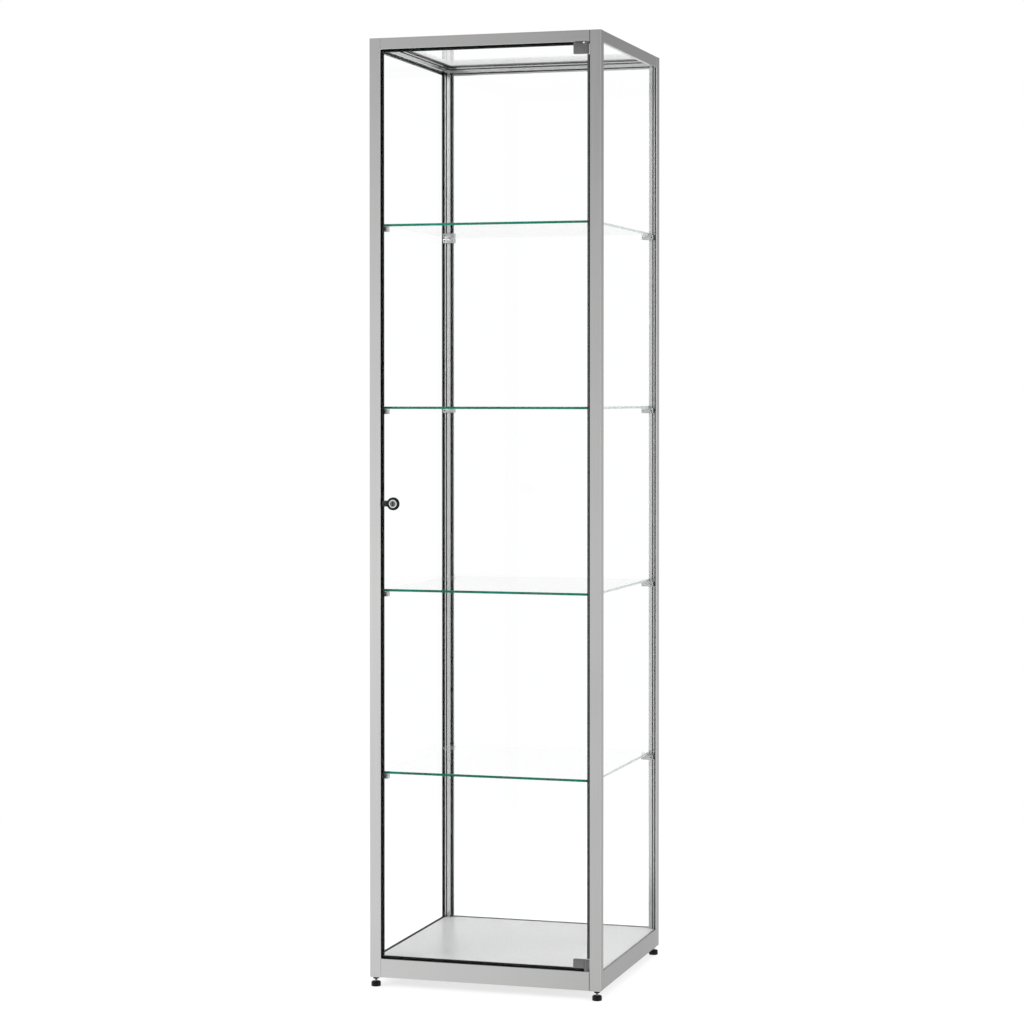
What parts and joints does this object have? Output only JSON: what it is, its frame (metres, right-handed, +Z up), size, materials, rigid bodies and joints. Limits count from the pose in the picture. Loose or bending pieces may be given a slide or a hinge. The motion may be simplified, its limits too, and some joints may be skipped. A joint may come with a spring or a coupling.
{
  "type": "pedestal display case",
  "caption": "Tall glazed display case in aluminium extrusion with a hinged, locked glass door, four glass shelves and levelling feet.",
  "frame": {"origin": "on the floor, under the middle of the case's outer box, lock front included", "axes": "+Z up, +X to the right and +Y away from someone facing the door; the door faces -Y"},
  "size_m": [0.5, 0.506, 1.984],
  "materials": {
    "anodised_aluminium": "satin silver anodised, fine lengthwise extrusion lines",
    "clear_glass": "clear float glass with ground, faintly green edges",
    "glazing_rubber": "matt dark grey glazing channel",
    "black_rubber": "matt black extruded seal",
    "panel_grey": "satin pale grey coated sheet",
    "hinge_metal": "satin grey",
    "black_plastic": "moulded black, fine grain",
    "lock_nickel": "nickel plated, turned face",
    "cast_zinc": "cast and plated, pale grey"
  },
  "bodies": {
    "frame": {"post_front_left": "anodised_aluminium", "post_front_right": "anodised_aluminium", "post_back_right": "anodised_aluminium", "post_back_left": "anodised_aluminium", "top_rail_front": "anodised_aluminium", "top_rail_right": "anodised_aluminium", "top_rail_back": "anodised_aluminium", "top_rail_left": "anodised_aluminium", "bottom_rail_front": "anodised_aluminium", "bottom_rail_right": "anodised_aluminium", "bottom_rail_back": "anodised_aluminium", "bottom_rail_left": "anodised_aluminium", "foot_insert_front_left": "black_plastic", "foot_insert_front_right": "black_plastic", "foot_insert_back_right": "black_plastic", "foot_insert_back_left": "black_plastic", "side_glass_left": "clear_glass", "side_glass_right": "clear_glass", "back_glass": "clear_glass", "top_glass": "clear_glass", "glazing_gasket_left": "glazing_rubber", "glazing_gasket_right": "glazing_rubber", "glazing_gasket_back": "glazing_rubber", "glazing_gasket_top": "glazing_rubber", "base_panel": "panel_grey", "door_seal": "black_rubber", "door_seal_hinge_side": "black_rubber", "hinge_pivot_bottom": "hinge_metal", "hinge_pivot_top": "hinge_metal"},
    "door": {"door_glass": "clear_glass", "hinge_clamp_bottom": "hinge_metal", "hinge_clamp_top": "hinge_metal", "lock_barrel": "black_plastic", "lock_case": "black_plastic"},
    "lock_plug_body": {"lock_plug": "lock_nickel"},
    "lock_bolt_body": {"lock_bolt": "cast_zinc"},
    "shelf_1_body": {"shelf_1": "clear_glass", "support_1_front_left": "cast_zinc", "support_1_front_right": "cast_zinc", "support_1_back_right": "cast_zinc", "support_1_back_left": "cast_zinc"},
    "shelf_2_body": {"shelf_2": "clear_glass", "support_2_front_left": "cast_zinc", "support_2_front_right": "cast_zinc", "support_2_back_right": "cast_zinc", "support_2_back_left": "cast_zinc"},
    "shelf_3_body": {"shelf_3": "clear_glass", "support_3_front_left": "cast_zinc", "support_3_front_right": "cast_zinc", "support_3_back_right": "cast_zinc", "support_3_back_left": "cast_zinc"},
    "shelf_4_body": {"shelf_4": "clear_glass", "support_4_front_left": "cast_zinc", "support_4_front_right": "cast_zinc", "support_4_back_right": "cast_zinc", "support_4_back_left": "cast_zinc"},
    "foot_front_left_body": {"foot_front_left": "black_plastic"},
    "foot_front_right_body": {"foot_front_right": "black_plastic"},
    "foot_back_right_body": {"foot_back_right": "black_plastic"},
    "foot_back_left_body": {"foot_back_left": "black_plastic"}
  },
  "joints": [
    {"name": "door_hinge", "type": "hinge", "parent": "frame", "child": "door", "pos_m": [0.2205, -0.247, 1.01], "axis": [0, 0, 1], "range_deg": [0, 110]},
    {"name": "lock_turn", "type": "hinge", "parent": "door", "child": "lock_plug_body", "pos_m": [-0.197, -0.247, 1.013], "axis": [0, -1, 0], "range_deg": [0, 90]},
    {"name": "lock_bolt_slide", "type": "slide", "parent": "door", "child": "lock_bolt_body", "axis": [-1, 0, 0], "range_m": [0, 0.0053]},
    {"name": "shelf_1_height", "type": "slide", "parent": "frame", "child": "shelf_1_body", "axis": [0, 0, 1], "range_m": [-0.3, 0.15]},
    {"name": "shelf_2_height", "type": "slide", "parent": "frame", "child": "shelf_2_body", "axis": [0, 0, 1], "range_m": [-0.15, 0.14]},
    {"name": "shelf_3_height", "type": "slide", "parent": "frame", "child": "shelf_3_body", "axis": [0, 0, 1], "range_m": [-0.15, 0.15]},
    {"name": "shelf_4_height", "type": "slide", "parent": "frame", "child": "shelf_4_body", "axis": [0, 0, 1], "range_m": [-0.15, 0.3]},
    {"name": "foot_front_left_level", "type": "slide", "parent": "frame", "child": "foot_front_left_body", "axis": [0, 0, 1], "range_m": [-0.01, 0]},
    {"name": "foot_front_right_level", "type": "slide", "parent": "frame", "child": "foot_front_right_body", "axis": [0, 0, 1], "range_m": [-0.01, 0]},
    {"name": "foot_back_right_level", "type": "slide", "parent": "frame", "child": "foot_back_right_body", "axis": [0, 0, 1], "range_m": [-0.01, 0]},
    {"name": "foot_back_left_level", "type": "slide", "parent": "frame", "child": "foot_back_left_body", "axis": [0, 0, 1], "range_m": [-0.01, 0]}
  ],
  "couplings": [
    {"joint": "lock_bolt_slide", "follows": "lock_turn", "m_per_rad": 0.00331}
  ]
}
